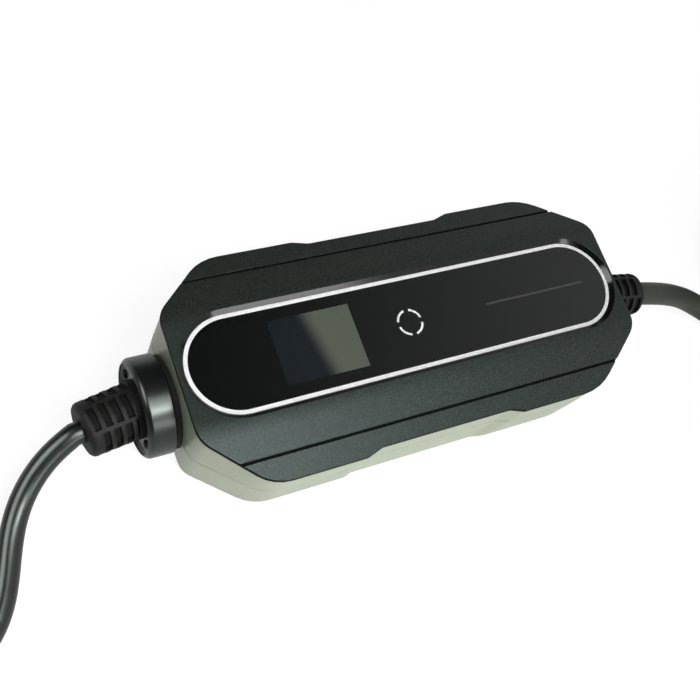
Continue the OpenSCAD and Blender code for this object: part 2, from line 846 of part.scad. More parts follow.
module vehicle_cable() {
    route = concat([vehicle_tip],
        [for (p = vehicle_points) [vehicle_tip.x + p.x, vehicle_tip.y + p.y, p.z + vehicle_d / 2]]);
    n = len(route);
    color("black") swept_tube(route, vehicle_d, vehicle_way, unit(route[n - 1] - route[n - 2]));
}

module hank_at(z) {
    translate([hank_left.x + hank_run / 2, hank_left.y, z]) children();
}

// Outer shape of the folded cable: a flat ring with round ends
module vehicle_hank() {
    color("black") hank_at(hank_z) difference() {
        stadium(hank_run, hank_out, hank_h);
        translate([0, 0, -1]) stadium(hank_run, hank_in, hank_h + 2);
    }
}

// One strap round each side of the hank
module hank_ties() {
    reach = hank_half + rest_gap;
    color("dimgray") for (p = [[-hank_run / 2 + 8, -1], [0, 1]])
        hank_at(0) translate([p.x, p.y * hank_bend, 0]) difference() {
            translate([-tie_w / 2, -reach - tie_t, 0]) cube([tie_w, 2 * (reach + tie_t), hank_h + 2 * tie_t]);
            translate([-tie_w / 2 - 1, -reach, tie_t]) cube([tie_w + 2, 2 * reach, hank_h]);
        }
}

module vehicle_tail() {
    route = concat(
        [for (p = tail_points) [hank_left.x + p.x, hank_left.y + p.y, hank_top + p.z + vehicle_d / 2]],
        [connector_at]);
    n = len(route);
    color("black") swept_tube(route, vehicle_d, unit(route[1] - route[0]), [1, 0, 0]);
}

// The connector's own frame: its axis is along +X, from the cable to the nose
module in_connector() {
    translate(connector_at) rotate([0, 90, 0]) rotate([0, 0, -90]) children();
}

module connector_sleeve() {
    color("dimgray") in_connector() difference() {
        cylinder(d1 = boot_tip_d - 2, d2 = boot_tip_d, h = boot_l);
        for (i = [0:3]) translate([0, 0, 4 + i * 4.5]) difference() {
            cylinder(d = boot_tip_d + 4, h = 1.8);
            translate([0, 0, -1]) cylinder(d = vehicle_d + 1, h = 4);
        }
    }
}

// Outer form of the handle and head, and the same form made smaller for the hollow
function shell_profile(inset) = [
    [0, handle_x + inset], [handle_d / 2 - 5 - inset, handle_x + inset],
    [handle_d / 2 - 1 - inset, handle_x + 5 + inset],
    [handle_d / 2 - inset, handle_x + 12], [handle_d / 2 - inset, head_x - neck_blend],
    [handle_d / 2 + 2 - inset, head_x - neck_blend / 2], [head_d / 2 - 3 - inset, head_x + 4],
    [head_d / 2 - inset, head_x + 10], [head_d / 2 - inset, nose_x - 2 - inset],
    [head_d / 2 - 2 - inset, nose_x - inset], [0, nose_x - inset]
];
module head_form(inset) {
    intersection() {
        rotate_extrude() polygon(shell_profile(inset));
        translate([-head_d, -head_d, 0]) cube([2 * head_d, head_d + head_flat - inset, nose_x + 1]);
    }
}

// Two screws hold the shells together, each in a pair of posts
screw_places = [handle_x + 20, head_x - 18];
post_d = 9;
screw_head_t = 2.5;
screw_grip = 12;
screw_seat_z = axis_z + handle_d / 2 - 2 * screw_head_t;
module screw_posts() {
    for (x = screw_places) translate([connector_at.x + x, connector_at.y, axis_z - handle_d / 2 + 1])
        cylinder(d = post_d, h = handle_d - 2);
}

module shell_body() {
    difference() {
        union() {
            in_connector() difference() {
                head_form(0);
                head_form(shell_wall);
                nose_prism(nose_x - shell_wall - 1, shell_wall + 2, fit);
            }
            screw_posts();
        }
        for (x = screw_places) translate([connector_at.x + x, connector_at.y, axis_z - screw_grip])
            cylinder(d = shell_screw_d - 2 + 2 * screw_fit, h = handle_d);
        for (x = screw_places) translate([connector_at.x + x, connector_at.y, screw_seat_z])
            cylinder(d = shell_screw_d + 2 * screw_fit, h = handle_d);
    }
}

module connector_half(side) {
    intersection() {
        shell_body();
        translate([connector_at.x, connector_at.y - head_d, axis_z + (side > 0 ? 0 : -head_d)])
            cube([nose_x + nose_l, 2 * head_d, head_d]);
    }
}

module connector_lower_shell() {
    color("black") connector_half(-1);
}

module connector_upper_shell() {
    color("black") connector_half(1);
}

module connector_screws() {
    color("silver") for (x = screw_places) translate([connector_at.x + x, connector_at.y, 0]) {
        translate([0, 0, screw_seat_z]) cylinder(d = shell_screw_d, h = screw_head_t);
        translate([0, 0, axis_z - screw_grip + 1])
            cylinder(d = shell_screw_d - 2, h = screw_seat_z - axis_z + screw_grip);
    }
}

// Round nose with a flat on one side
module nose_prism(x, l, grow) {
    translate([0, 0, x]) intersection() {
        cylinder(d = nose_d + 2 * grow, h = l);
        translate([-nose_d, -nose_d, 0]) cube([2 * nose_d, nose_d + nose_flat + grow, l]);
    }
}

// A contact's chamber, open at the front, and the narrow way for its wire behind the shoulder
module contact_ways(places, chamber_d, wire_way, back) {
    for (p = places) translate([p.x, p.y, 0]) {
        translate([0, 0, contact_back]) cylinder(d = chamber_d, h = nose_x + nose_l);
        translate([0, 0, back - 1]) cylinder(d = wire_way, h = contact_back - back + 2);
    }
}

module connector_insert() {
    front = nose_x + nose_l;
    back = nose_x - insert_back;
    color("black") in_connector() difference() {
        union() {
            nose_prism(nose_root, nose_x + nose_l - nose_root, 0);
            intersection() {
                head_form(shell_wall + fit);
                translate([-head_d, -head_d, back]) cube([2 * head_d, 2 * head_d, insert_back]);
            }
        }
        contact_ways(power_places, power_hole_d, wire_way_d, back);
        contact_ways(pilot_places, pilot_hole_d, pilot_wire_way_d, back);
        for (p = blank_places) translate([p.x, p.y, front - blank_depth])
            cylinder(d = blank_d, h = blank_depth + 1);
    }
}

// Sockets for the pins on the car: open tubes, closed at the back
module socket(bore, outer) {
    translate([0, 0, contact_back]) difference() {
        cylinder(d = outer, h = contact_l);
        translate([0, 0, 3]) cylinder(d = bore, h = contact_l);
    }
}

module contact_sleeves() {
    color("silver") in_connector() {
        for (p = power_places) translate([p.x, p.y, 0]) socket(contact_bore, power_hole_d);
        for (p = pilot_places) translate([p.x, p.y, 0]) socket(pilot_bore, pilot_hole_d);
    }
}

module nose_seal() {
    color("gray") in_connector() difference() {
        nose_prism(nose_x, nose_seal_t, 1.6);
        translate([0, 0, -1]) nose_prism(nose_x, nose_seal_t + 2, 0);
    }
}

lower_case();
upper_case();
top_cover();
case_seal();
case_screws();
panel_lens();
panel_line();
key_ring();
screen_window();
light_guide();
panel_tape();
lcd_module();
touch_pad();
display_board();
display_screws();
board_link();
main_board();
board_screws();
line_terminal();
load_terminal();
current_sensor();
relays();
power_module();
filter_capacitors();
supply_wires();
load_wires();
collar();
collar_seal();
collar_nut();
collar_screws();
supply_sleeve();
supply_lead();
plug_sleeve();
plug_body();
plug_pins();
earth_clips();
vehicle_sleeve();
vehicle_nut();
vehicle_cable();
vehicle_hank();
hank_ties();
vehicle_tail();
connector_sleeve();
connector_lower_shell();
connector_upper_shell();
connector_screws();
connector_insert();
contact_sleeves();
nose_seal();
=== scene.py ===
"""Dressed model of a portable charger for electric cars: control box, supply lead and vehicle cable."""

import logging
import math
from dataclasses import dataclass, field
from enum import Enum, IntEnum
from typing import Any, Callable

import bpy
from mathutils import Matrix, Vector

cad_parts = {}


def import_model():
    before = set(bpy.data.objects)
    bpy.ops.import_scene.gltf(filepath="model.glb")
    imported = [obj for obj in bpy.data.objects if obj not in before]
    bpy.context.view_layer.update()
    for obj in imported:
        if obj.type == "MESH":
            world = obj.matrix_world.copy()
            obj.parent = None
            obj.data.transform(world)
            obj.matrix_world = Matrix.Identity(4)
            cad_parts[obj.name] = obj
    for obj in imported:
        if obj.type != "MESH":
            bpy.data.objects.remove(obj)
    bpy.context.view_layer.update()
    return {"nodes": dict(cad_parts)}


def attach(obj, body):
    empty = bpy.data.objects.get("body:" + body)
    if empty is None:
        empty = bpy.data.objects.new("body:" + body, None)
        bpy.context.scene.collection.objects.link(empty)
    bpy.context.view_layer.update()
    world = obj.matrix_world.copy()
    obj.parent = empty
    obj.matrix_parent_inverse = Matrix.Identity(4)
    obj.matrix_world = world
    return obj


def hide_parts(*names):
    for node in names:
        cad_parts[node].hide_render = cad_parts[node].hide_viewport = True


MM = 0.001
# Edges that turn by more than this stay crisp.
CRISP = math.radians(32)
# Corners of a CAD mesh that are this close are one, and so are faces that turn by less than this.
MERGE = 0.002 * MM
LEVEL = math.radians(0.4)
# Steps in the round of a cord.
CORD_STEPS = 5
LOG = logging.getLogger("charger")
frame: dict[str, Any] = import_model()


def linear(code: str) -> tuple[float, float, float, float]:
    """Turns an sRGB hex colour into linear light.

    Args:
        code: Six hex digits after a hash.

    Returns:
        Red, green, blue and alpha.
    """
    parts = [int(code[i:i + 2], 16) / 255 for i in (1, 3, 5)]
    red, green, blue = (p / 12.92 if p <= 0.04045 else ((p + 0.055) / 1.055) ** 2.4 for p in parts)
    return red, green, blue, 1.0


def add_node(
    tree: bpy.types.NodeTree, kind: str, inputs: dict[Any, Any] | None = None, **settings: Any,
) -> bpy.types.Node:
    """Adds a shader node, sets it up and links it.

    Args:
        tree: The material's node tree.
        kind: The node's type name.
        inputs: Socket name or number to a value, or to another node's output to link.
        **settings: Properties of the node.

    Returns:
        The new node.
    """
    made = tree.nodes.new(kind)
    for name, value in settings.items():
        setattr(made, name, value)
    for key, value in (inputs or {}).items():
        if isinstance(value, bpy.types.NodeSocket):
            tree.links.new(value, made.inputs[key])
        else:
            made.inputs[key].default_value = value
    return made


class MixSocket(IntEnum):
    """Sockets of the Mix node when it mixes colours."""

    FACTOR = 0
    LOW = 6
    HIGH = 7
    RESULT = 2


@dataclass(frozen=True)
class Finish:
    """A surface with a fine moulded grain and slow changes of tone.

    Sizes are in millimetres; spreads are shares of the value they vary.
    """

    name: str
    colour: str
    roughness: float
    metallic: float = 0.0
    ior: float = 1.5
    gloss: str = "#ffffff"
    grain_mm: float = 0.9
    patch_mm: float = 24.0
    bump_mm: float = 0.02
    tone_spread: float = 0.12
    roughness_spread: float = 0.15

    def build(self) -> bpy.types.Material:
        """Makes the material.

        Returns:
            The material, named for the finish.
        """
        material = bpy.data.materials.new(self.name)
        material.use_nodes = True
        tree = material.node_tree
        shader = tree.nodes["Principled BSDF"]
        constants = {"Metallic": self.metallic, "Specular Tint": linear(self.gloss)}
        if not self.metallic:
            constants["IOR"] = self.ior
        for socket, value in constants.items():
            shader.inputs[socket].default_value = value
        place = add_node(tree, "ShaderNodeTexCoord").outputs["Object"]
        tree.links.new(self.tone(tree, place), shader.inputs["Base Color"])
        grain = self.grain(tree, place)
        rough = add_node(tree, "ShaderNodeMapRange", {
            "Value": grain, "To Min": self.roughness * (1 - self.roughness_spread),
            "To Max": self.roughness * (1 + self.roughness_spread),
        })
        tree.links.new(rough.outputs["Result"], shader.inputs["Roughness"])
        bump = add_node(tree, "ShaderNodeBump", {
            "Height": grain, "Strength": 1.0, "Distance": self.bump_mm * MM,
        })
        tree.links.new(bump.outputs["Normal"], shader.inputs["Normal"])
        return material

    def tone(self, tree: bpy.types.NodeTree, place: bpy.types.NodeSocket) -> bpy.types.NodeSocket:
        """Gives the colour, which drifts slowly over the surface.

        Args:
            tree: The material's node tree.
            place: Object coordinates.

        Returns:
            A colour socket.
        """
        red, green, blue, _ = linear(self.colour)
        spread = self.tone_spread
        low, high = ((red * k, green * k, blue * k, 1.0) for k in (1 - spread, 1 + spread))
        drift = add_node(tree, "ShaderNodeTexNoise", {
            "Vector": place, "Scale": 1 / (self.patch_mm * MM), "Detail": 3.0,
        })
        mix = add_node(tree, "ShaderNodeMix", {
            MixSocket.FACTOR: drift.outputs["Fac"], MixSocket.LOW: low,
            MixSocket.HIGH: high,
        }, data_type="RGBA")
        return mix.outputs[MixSocket.RESULT]

    def grain(self, tree: bpy.types.NodeTree, place: bpy.types.NodeSocket) -> bpy.types.NodeSocket:
        """Gives the fine relief of the surface.

        Args:
            tree: The material's node tree.
            place: Object coordinates.

        Returns:
            A height from 0 to 1.
        """
        noise = add_node(tree, "ShaderNodeTexNoise", {
            "Vector": place, "Scale": 1 / (self.grain_mm * MM), "Detail": 2.0,
        })
        return noise.outputs["Fac"]


@dataclass(frozen=True)
class SparkEroded(Finish):
    """Moulding from a spark-eroded tool: packed shallow craters, with pale specks painted into the colour as
    the glints of the larger ones.
    """

    painted_glint: str = "#555d57"
    painted_glint_share: float = 0.32
    crest: tuple[float, float] = (0.42, 0.75)

    def tone(self, tree: bpy.types.NodeTree, place: bpy.types.NodeSocket) -> bpy.types.NodeSocket:
        """Adds pale specks, painted glints, on the crests of the grain to the slow drift.

        Args:
            tree: The material's node tree.
            place: Object coordinates.

        Returns:
            A colour socket.
        """
        glint_spots = add_node(tree, "ShaderNodeTexNoise", {
            "Vector": place, "Scale": 1 / (self.grain_mm * MM), "Detail": 1.0,
        })
        crest = add_node(tree, "ShaderNodeMapRange", {
            "Value": glint_spots.outputs["Fac"], "From Min": self.crest[0], "From Max": self.crest[1],
            "To Max": self.painted_glint_share,
        })
        # Painted glints: pale specks mixed into the colour on every face.
        mix = add_node(tree, "ShaderNodeMix", {
            MixSocket.FACTOR: crest.outputs["Result"], MixSocket.LOW: super().tone(tree, place),
            MixSocket.HIGH: linear(self.painted_glint),
        }, data_type="RGBA")
        return mix.outputs[MixSocket.RESULT]


@dataclass(frozen=True)
class ScreenWithPaintedReflection(Finish):
    """Unlit screen behind its window: slate that turns to pale grey across a soft slanting edge, a reflection
    painted into the colour.
    """

    # Second tone of the painted reflection, on the other side of its soft edge.
    dark: str = "#171e23"
    edge_x_mm: float = -47.5
    edge_slope: float = 0.2
    edge_w_mm: float = 9.0

    def tone(self, tree: bpy.types.NodeTree, place: bpy.types.NodeSocket) -> bpy.types.NodeSocket:
        """Blends the two tones across the soft slanting edge: a painted reflection on the glass.

        Args:
            tree: The material's node tree.
            place: Object coordinates.

        Returns:
            A colour socket.
        """
        split = add_node(tree, "ShaderNodeSeparateXYZ", {0: place})
        lean = add_node(tree, "ShaderNodeMath", {
            0: split.outputs["Y"], 1: self.edge_slope, 2: split.outputs["X"],
        }, operation="MULTIPLY_ADD")
        across = add_node(tree, "ShaderNodeMapRange", {
            "Value": lean.outputs[0], "From Min": (self.edge_x_mm - self.edge_w_mm / 2) * MM,
            "From Max": (self.edge_x_mm + self.edge_w_mm / 2) * MM,
        }, interpolation_type="SMOOTHSTEP")
        # Painted reflection: the two tones meet across a soft slanting edge.
        mix = add_node(tree, "ShaderNodeMix", {
            MixSocket.FACTOR: across.outputs["Result"], MixSocket.LOW: linear(self.dark),
            MixSocket.HIGH: super().tone(tree, place),
        }, data_type="RGBA")
        return mix.outputs[MixSocket.RESULT]


@dataclass(frozen=True)
class WovenStrap(Finish):
    """Woven nylon tape: two crossing sets of threads."""

    thread_mm: float = 1.2

    def grain(self, tree: bpy.types.NodeTree, place: bpy.types.NodeSocket) -> bpy.types.NodeSocket:
        """Crosses two sets of ridges a thread apart.

        Args:
            tree: The material's node tree.
            place: Object coordinates.

        Returns:
            A height from 0 to 1.
        """
        # A wave texture has 20 / (2 pi) ridges for each unit of its scale.
        scale = 2 * math.pi / (20 * self.thread_mm * MM)
        ridges = {"Vector": place, "Scale": scale}
        warp = add_node(tree, "ShaderNodeTexWave", ridges, bands_direction="X").outputs["Fac"]
        weft = add_node(tree, "ShaderNodeTexWave", ridges, bands_direction="DIAGONAL").outputs["Fac"]
        return add_node(tree, "ShaderNodeMath", {0: warp, 1: weft}, operation="MULTIPLY").outputs[0]


class Finishes(Enum):
    """Every finish on the object."""

    # ABS from a spark-eroded tool: near black and dull; its fine sparkle is painted as pale specks on every
    # face alike. The real grit of about 0.2 mm is drawn at 0.65 mm so that it shows.
    COVER = SparkEroded(
        "spark_eroded_black_abs", "#1a1d1a", 0.42, gloss="#cfe6e2", bump_mm=0.07, grain_mm=0.65,
        tone_spread=0.08,
    )
    # The same ABS where the tool is polished: a black mirror round the panel.
    RIM = Finish("polished_black_abs", "#0b0d0c", 0.12, bump_mm=0.001, grain_mm=4)
    # Painted shade: dull black ABS, darker than the cover, for the thin black line round the cover's side,
    # the seam and the grooves.
    EDGE = Finish("painted_shade_black_abs", "#080908", 0.75, ior=1.2, bump_mm=0.01)
    # Pale grey-green ABS from a polished tool: a soft gloss over an even, light body colour.
    WALL = Finish(
        "smooth_pale_grey_abs", "#bac4ac", 0.3, gloss="#eef5e6", bump_mm=0.002, grain_mm=1.6,
        tone_spread=0.03,
    )
    # Black acrylic: mirror-like, with faint smears from handling.
    PANEL = Finish(
        "black_acrylic", "#090b0b", 0.06, ior=1.6, bump_mm=0.0006, grain_mm=6, roughness_spread=0.5,
    )
    # Screen print: flat, opaque white.
    PRINT = Finish("white_screen_print", "#ffffff", 0.42, bump_mm=0.002, tone_spread=0.02)
    # Glass over a liquid-crystal screen that is off, with a soft slanting reflection painted into its colour.
    SCREEN = ScreenWithPaintedReflection(
        "liquid_crystal_glass_painted_reflection", "#5a6156", 0.14, bump_mm=0.0005, grain_mm=5, tone_spread=0.05,
    )
    # Smoked polycarbonate: barely lighter than the panel while it is unlit.
    LIGHT = Finish("smoked_polycarbonate", "#434642", 0.3, ior=1.58, bump_mm=0.003, tone_spread=0.03)
    # Glass-filled nylon, tumbled: black with a soft sheen.
    GLAND = Finish("satin_black_nylon", "#0d0f0e", 0.3, ior=1.7, gloss="#e6f2ec", bump_mm=0.006, grain_mm=1.2)
    # Thermoplastic rubber: dull black that scatters light.
    SLEEVE = Finish("moulded_black_rubber", "#151614", 0.6, ior=1.4, bump_mm=0.015, grain_mm=0.8)
    # The same rubber in the beds of the slots: dull, and painted darker as the shade in the slots.
    BED = Finish("slot_rubber_painted_shade", "#111211", 0.8, ior=1.3, bump_mm=0.015, grain_mm=0.8)
    # Plasticised vinyl sheath: deep black with long clear highlights.
    LEAD = Finish("glossy_vinyl_sheath", "#0a0c0b", 0.3, ior=1.75, gloss="#e6f2ec", bump_mm=0.001, grain_mm=3)
    # Polyurethane sheath: matt and slightly dusty, paler than the supply lead.
    CABLE = Finish("matt_polyurethane_sheath", "#3d4038", 0.44, ior=1.4, bump_mm=0.01, grain_mm=1.5)
    # Nitrile rubber: dead black.
    SEAL = Finish("nitrile_rubber", "#0f1111", 0.7, bump_mm=0.01)
    # Polycarbonate blend with a fine matt texture, and faint pale specks painted into its colour as glints.
    SHELL = SparkEroded(
        "matt_black_polycarbonate", "#171a1a", 0.48, bump_mm=0.03, grain_mm=0.8, painted_glint="#323838",
        painted_glint_share=0.3,
    )
    # Nickel on brass: bright, faintly warm.
    CONTACT = Finish(
        "nickel_plated_brass", "#cfcabd", 0.2, metallic=1.0, bump_mm=0.003, grain_mm=2, tone_spread=0.05,
    )
    # Zinc-plated steel: light grey with a soft glint.
    STEEL = Finish(
        "zinc_plated_steel", "#b9bcc0", 0.34, metallic=1.0, bump_mm=0.004, grain_mm=0.7, tone_spread=0.06,
    )
    # Blackened steel: dark with a soft glint.
    DARK_STEEL = Finish("blackened_steel", "#24272a", 0.4, metallic=0.6, bump_mm=0.006, grain_mm=0.7)
    # Woven tape: dull, with crossing threads.
    STRAP = WovenStrap("woven_nylon_tape", "#1c1f20", 0.75, bump_mm=0.12)
    # Solder resist over copper: glossy green.
    BOARD = Finish("green_solder_resist", "#1c5a35", 0.3, bump_mm=0.01, grain_mm=2)
    # Epoxy moulding of bought-in components: flat dark grey.
    COMPONENT = Finish("black_epoxy_moulding", "#25292e", 0.5, bump_mm=0.01)
    # Vinyl insulation: brown with a slight shine.
    WIRE = Finish("brown_vinyl_insulation", "#6b3a22", 0.4, bump_mm=0.004)

    def material(self) -> bpy.types.Material:
        """Gives the finish's material, and makes it on first use."""
        return bpy.data.materials.get(self.value.name) or self.value.build()


def dress(piece: bpy.types.Object, finish: Finishes) -> None:
    """Puts one finish all over a piece.

    Args:
        piece: A CAD node or a new piece.
        finish: The finish.
    """
    piece.data.materials.clear()
    piece.data.materials.append(finish.material())


def node_of(name: str) -> bpy.types.Object:
    """Gives the object of a CAD node."""
    return frame["nodes"][name]


def only(piece: bpy.types.Object) -> None:
    """Selects one object, makes it active and deselects all others."""
    bpy.ops.object.select_all(action="DESELECT")
    piece.select_set(True)
    bpy.context.view_layer.objects.active = piece


def apply_modifier(piece: bpy.types.Object, kind: str, **settings: Any) -> None:
    """Adds a modifier and applies it.

    Args:
        piece: The object.
        kind: The modifier's type.
        **settings: Properties of the modifier.
    """
    only(piece)
    made = piece.modifiers.new(kind.lower(), kind)
    for name, value in settings.items():
        setattr(made, name, value)
    bpy.ops.object.modifier_apply(modifier=made.name)


def pick_faces(piece: bpy.types.Object, wanted: Callable[[bpy.types.MeshPolygon], bool]) -> None:
    """Goes into edit mode with some faces of a piece selected.

    Args:
        piece: The mesh object.
        wanted: Tells which faces to select.
    """
    only(piece)
    bpy.ops.object.mode_set(mode="EDIT")
    bpy.ops.mesh.select_mode(type="FACE")
    bpy.ops.mesh.select_all(action="DESELECT")
    bpy.ops.object.mode_set(mode="OBJECT")
    for face in piece.data.polygons:
        face.select = wanted(face)
    bpy.ops.object.mode_set(mode="EDIT")


def settle(piece: bpy.types.Object) -> None:
    """Leaves edit mode and applies the piece's place, turn and scale."""
    if piece.mode == "EDIT":
        bpy.ops.object.mode_set(mode="OBJECT")
    only(piece)
    bpy.ops.object.transform_apply(location=True, rotation=True, scale=True)


def joined_copies(piece: bpy.types.Object, name: str, places: list[Matrix]) -> bpy.types.Object:
    """Sets copies of a modelled piece at their places, joins them and removes the model.

    Args:
        piece: The model, at the origin.
        name: Name of the result.
        places: Where the copies go, two or more, in metres.

    Returns:
        One object with all the copies.
    """
    copies = []
    for place in places:
        copy = bpy.data.objects.new(name, piece.data.copy())
        copy.data.transform(place)
        bpy.context.collection.objects.link(copy)
        copies.append(copy)
    bpy.data.objects.remove(piece)
    only(copies[0])
    for copy in copies[1:]:
        copy.select_set(True)
    bpy.ops.object.join()
    return copies[0]


@dataclass(frozen=True)
class Screw:
    """A cross-recessed screw that stands head up with its seat at the origin. Sizes in millimetres."""

    head_d: float
    head_h: float
    shank_d: float
    shank_l: float
    recess_w: float = 0.9
    recess_h: float = 1.2
    # Share of the head that the cross spans
    recess_span: float = 0.62
    recess_round: float = 0.2
    head_round: float = 0.35
    sides: int = 40

    def model(self) -> bpy.types.Object:
        """Makes one screw.

        Returns:
            The screw.
        """
        bpy.ops.object.select_all(action="DESELECT")
        bpy.ops.mesh.primitive_cylinder_add(
            vertices=self.sides, radius=self.head_d / 2 * MM, depth=self.head_h * MM,
            location=(0, 0, self.head_h / 2 * MM),
        )
        screw = bpy.context.active_object
        settle(screw)
        pick_faces(screw, lambda face: face.normal.z < -0.9)
        bpy.ops.mesh.inset(thickness=(self.head_d - self.shank_d) / 2 * MM)
        bpy.ops.mesh.extrude_region_move(TRANSFORM_OT_translate={"value": (0, 0, -self.shank_l * MM)})
        bpy.ops.object.mode_set(mode="OBJECT")
        Easing(self.head_round, 3, lambda place: place.z > self.head_h - 0.1).apply(screw)
        for turn in (0.0, math.pi / 2):
            self.cut(screw, turn)
        only(screw)
        bpy.ops.object.shade_smooth_by_angle(angle=CRISP)
        return screw

    def cut(self, screw: bpy.types.Object, turn: float) -> None:
        """Cuts one bar of the cross into the head.

        Args:
            screw: The screw.
            turn: Turn of the bar about the screw's axis, in radians.
        """
        bpy.ops.object.select_all(action="DESELECT")
        bpy.ops.mesh.primitive_cube_add(
            size=1, location=(0, 0, self.head_h * MM), rotation=(0, 0, turn),
            scale=(self.head_d * self.recess_span * MM, self.recess_w * MM, 2 * self.recess_h * MM),
        )
        bar = bpy.context.active_object
        settle(bar)
        Easing(self.recess_round, 2).apply(bar)
        apply_modifier(screw, "BOOLEAN", object=bar, operation="DIFFERENCE", solver="EXACT")
        bpy.data.objects.remove(bar)


@dataclass(frozen=True)
class Strap:
    """Woven strap round one side of the hank, with a stitched patch outside. Sizes in millimetres."""

    width: float = 20.0
    across: float = 39.0
    height: float = 38.4
    thick: float = 1.2
    corner: float = 7.2
    patch_in: float = 1.5
    patch_h: float = 0.8
    edge_round: float = 0.3

    def model(self) -> bpy.types.Object:
        """Makes one strap, with its patch on the side of +Y.

        Returns:
            The strap.
        """
        bpy.ops.object.select_all(action="DESELECT")
        bpy.ops.mesh.primitive_cube_add(
            size=1, location=(0, 0, self.height / 2 * MM),
            scale=(self.width * MM, self.across * MM, self.height * MM),
        )
        strap = bpy.context.active_object
        settle(strap)
        edge = self.width / 2 - 0.1
        Easing(self.corner, 6, lambda place: abs(place.x) < edge).apply(strap)
        pick_faces(strap, lambda face: abs(face.normal.x) > 0.9)
        bpy.ops.mesh.delete(type="FACE")
        settle(strap)
        apply_modifier(strap, "SOLIDIFY", thickness=self.thick * MM, offset=-1.0)
        outer = self.across / 2 - 0.1
        pick_faces(strap, lambda face: face.normal.y > 0.9 and face.center.y > outer * MM)
        bpy.ops.mesh.inset(thickness=self.patch_in * MM)
        bpy.ops.mesh.extrude_region_move(TRANSFORM_OT_translate={"value": (0, self.patch_h * MM, 0)})
        settle(strap)
        Easing(self.edge_round).apply(strap)
        only(strap)
        bpy.ops.object.shade_smooth_by_angle(angle=CRISP)
        return strap


def anywhere(place: Vector) -> bool:
    """Accepts every place."""
    return True


@dataclass(frozen=True)
class Easing:
    """A round on the sharp edges in some part of a piece. Sizes in millimetres, angle in degrees."""

    radius: float
    steps: int = 2
    where: Callable[[Vector], bool] = anywhere
    sharp: float = 34.0

    def apply(self, piece: bpy.types.Object) -> None:
        """Rounds the edges.

        Args:
            piece: The mesh object.
        """
        only(piece)
        bpy.ops.object.mode_set(mode="EDIT")
        bpy.ops.mesh.select_mode(type="EDGE")
        bpy.ops.mesh.select_all(action="DESELECT")
        bpy.ops.mesh.edges_select_sharp(sharpness=math.radians(self.sharp))
        bpy.ops.object.mode_set(mode="OBJECT")
        corners = piece.data.vertices
        for edge in piece.data.edges:
            if edge.select:
                start, end = (corners[i].co for i in edge.vertices)
                edge.select = self.where((start + end) / 2 / MM)
        bpy.ops.object.mode_set(mode="EDIT")
        bpy.ops.mesh.bevel(offset=self.radius * MM, segments=self.steps, affect="EDGES", clamp_overlap=True)
        bpy.ops.object.mode_set(mode="OBJECT")


def smooth_between_edges(piece: bpy.types.Object) -> None:
    """Shades a piece smooth and keeps its remaining edges crisp."""
    only(piece)
    bpy.ops.object.shade_smooth()
    bpy.ops.object.mode_set(mode="EDIT")
    bpy.ops.mesh.select_mode(type="EDGE")
    bpy.ops.mesh.select_all(action="DESELECT")
    bpy.ops.mesh.edges_select_sharp(sharpness=CRISP)
    bpy.ops.mesh.mark_sharp()
    bpy.ops.object.mode_set(mode="OBJECT")


def eased(
    name: str, slot: str, finish: Finishes, *easings: Easing, weighted: bool = True,
) -> bpy.types.Object:
    """Makes a piece that stands for a CAD node and has the node's sharp edges eased, as a moulding has.

    Args:
        name: The CAD node.
        slot: The record's material slot.
        finish: The finish.
        *easings: The rounds, put on in this order.
        weighted: Whether broad faces keep their own shading beside the rounds.

    Returns:
        The new piece.
    """
    piece = bpy.data.objects.new(f"{name}_eased", node_of(name).data.copy())
    bpy.context.collection.objects.link(piece)
    only(piece)
    bpy.ops.mesh.customdata_custom_splitnormals_clear()
    bpy.ops.object.mode_set(mode="EDIT")
    bpy.ops.mesh.select_all(action="SELECT")
    bpy.ops.mesh.remove_doubles(threshold=MERGE)
    bpy.ops.mesh.mark_sharp(clear=True)
    bpy.ops.mesh.dissolve_limited(angle_limit=LEVEL)
    bpy.ops.object.mode_set(mode="OBJECT")
    for easing in easings:
        easing.apply(piece)
    smooth_between_edges(piece)
    if weighted:
        apply_modifier(piece, "WEIGHTED_NORMAL", weight=100, keep_sharp=True)
    finish_piece(piece, slot, finish, name)
    return piece


def second_finish(
    piece: bpy.types.Object, finish: Finishes, wanted: Callable[[Vector, Vector], bool],
) -> None:
    """Puts another finish on some faces of a piece.

    Args:
        piece: The mesh object.
        finish: The finish.
        wanted: Tells from a face's middle, in millimetres, and its direction whether it takes the finish.
    """
    piece.data.materials.append(finish.material())
    for face in piece.data.polygons:
        if wanted(face.center / MM, face.normal):
            face.material_index = len(piece.data.materials) - 1


@dataclass(frozen=True)
class SlottedSleeve:
    """Where the slots of a leaning sleeve are. Sizes in millimetres."""

    root: tuple[float, float, float]
    tip: tuple[float, float, float]
    root_r: float
    shallow: float = 0.75
    tip_gap: float = 2.7

    def in_slot(self, place: Vector, way: Vector) -> bool:
        """Tells whether a face is inside a slot.

        Args:
            place: The face's middle.
            way: The face's direction.

        Returns:
            Whether the face lies below the sleeve's outer face and behind its tip.
        """
        axis = Vector(self.tip) - Vector(self.root)
        reach = axis.normalized()
        along = (place - Vector(self.root)).dot(reach)
        deep = (place - Vector(self.root) - along * reach).length < self.root_r - self.shallow
        return deep and 0 < along < axis.length - self.tip_gap


def finish_piece(piece: bpy.types.Object, slot: str, finish: Finishes, *replaced: str) -> None:
    """Args:
        piece: The new piece.
        slot: The record's material slot; not used.
        finish: The finish.
        *replaced: CAD nodes that the piece stands for.
    """
    dress(piece, finish)
    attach(piece, "root")
    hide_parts(*replaced)
    LOG.info("%s: %d faces", piece.name, len(piece.data.polygons) if piece.type == "MESH" else 0)


